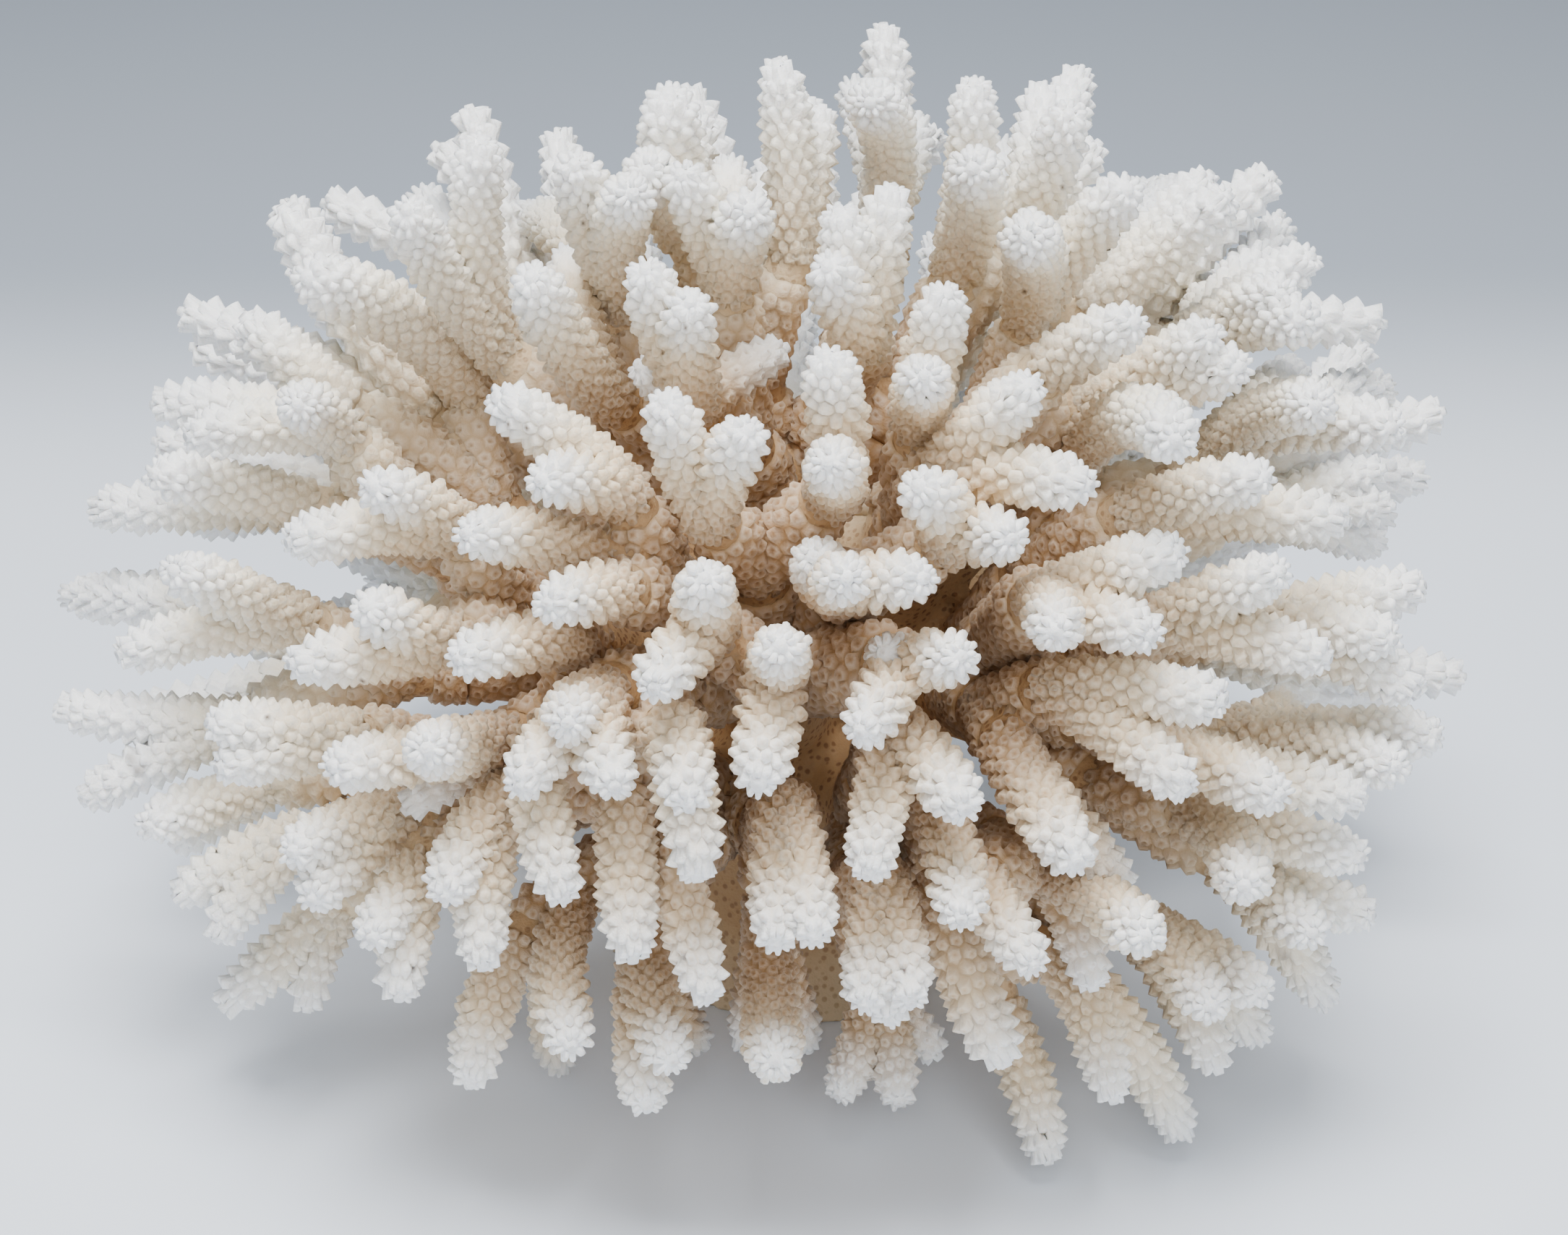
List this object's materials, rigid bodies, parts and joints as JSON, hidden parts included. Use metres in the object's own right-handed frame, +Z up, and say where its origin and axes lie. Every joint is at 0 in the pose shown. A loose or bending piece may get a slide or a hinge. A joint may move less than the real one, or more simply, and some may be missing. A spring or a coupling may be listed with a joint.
{
  "type": "finger coral",
  "caption": "Bleached finger coral skeleton: a low dome of forked, blunt, knobbly white fingers that radiate from a short stump, cut off flat to stand on a shelf.",
  "frame": {"origin": "on the flat cut underneath that the coral rests on, below the middle of its outline", "axes": "+Z up from the cut, +X to the right along the widest way, -Y to the pictured front"},
  "size_m": [0.2535, 0.2095, 0.1728],
  "materials": {
    "coral_white": "dull, finely pitted limy skeleton, white at the tips and cream lower down",
    "coral_tan": "dull, finely pitted limy skeleton, tan with brown pits"
  },
  "bodies": {
    "root": {"branch_back_left_1": "coral_white", "branch_back_left_2": "coral_white", "branch_back_left_3": "coral_white", "branch_back_left_4": "coral_white", "branch_back_left_5": "coral_white", "branch_back_right_1": "coral_white", "branch_back_right_2": "coral_white", "branch_back_right_3": "coral_white", "branch_back_right_4": "coral_white", "branch_back_right_5": "coral_white", "branch_front_1": "coral_white", "branch_front_2": "coral_white", "branch_front_3": "coral_white", "branch_front_4": "coral_white", "branch_front_right_1": "coral_white", "branch_front_right_2": "coral_white", "branch_front_right_3": "coral_white", "branch_front_right_4": "coral_white", "branch_front_right_5": "coral_white", "branch_left_1": "coral_white", "branch_left_2": "coral_white", "branch_left_3": "coral_white", "branch_left_4": "coral_white", "branch_left_front_1": "coral_white", "branch_left_front_2": "coral_white", "branch_left_front_3": "coral_white", "branch_left_front_4": "coral_white", "branch_middle_1": "coral_white", "branch_middle_2": "coral_white", "branch_middle_3": "coral_white", "branch_middle_4": "coral_white", "branch_middle_5": "coral_white", "branch_middle_6": "coral_white", "branch_right_1": "coral_white", "branch_right_2": "coral_white", "branch_right_3": "coral_white", "branch_right_4": "coral_white", "branch_right_5": "coral_white", "branch_right_6": "coral_white", "branch_right_7": "coral_white", "branch_right_8": "coral_white", "branch_top_1": "coral_white", "branch_top_2": "coral_white", "branch_top_3": "coral_white", "branch_top_4": "coral_white", "branch_top_5": "coral_white", "branch_top_6": "coral_white", "branch_top_right_1": "coral_white", "branch_top_right_2": "coral_white", "branch_top_right_3": "coral_white", "branch_top_right_4": "coral_white", "trunk": "coral_tan"}
  },
  "joints": []
}
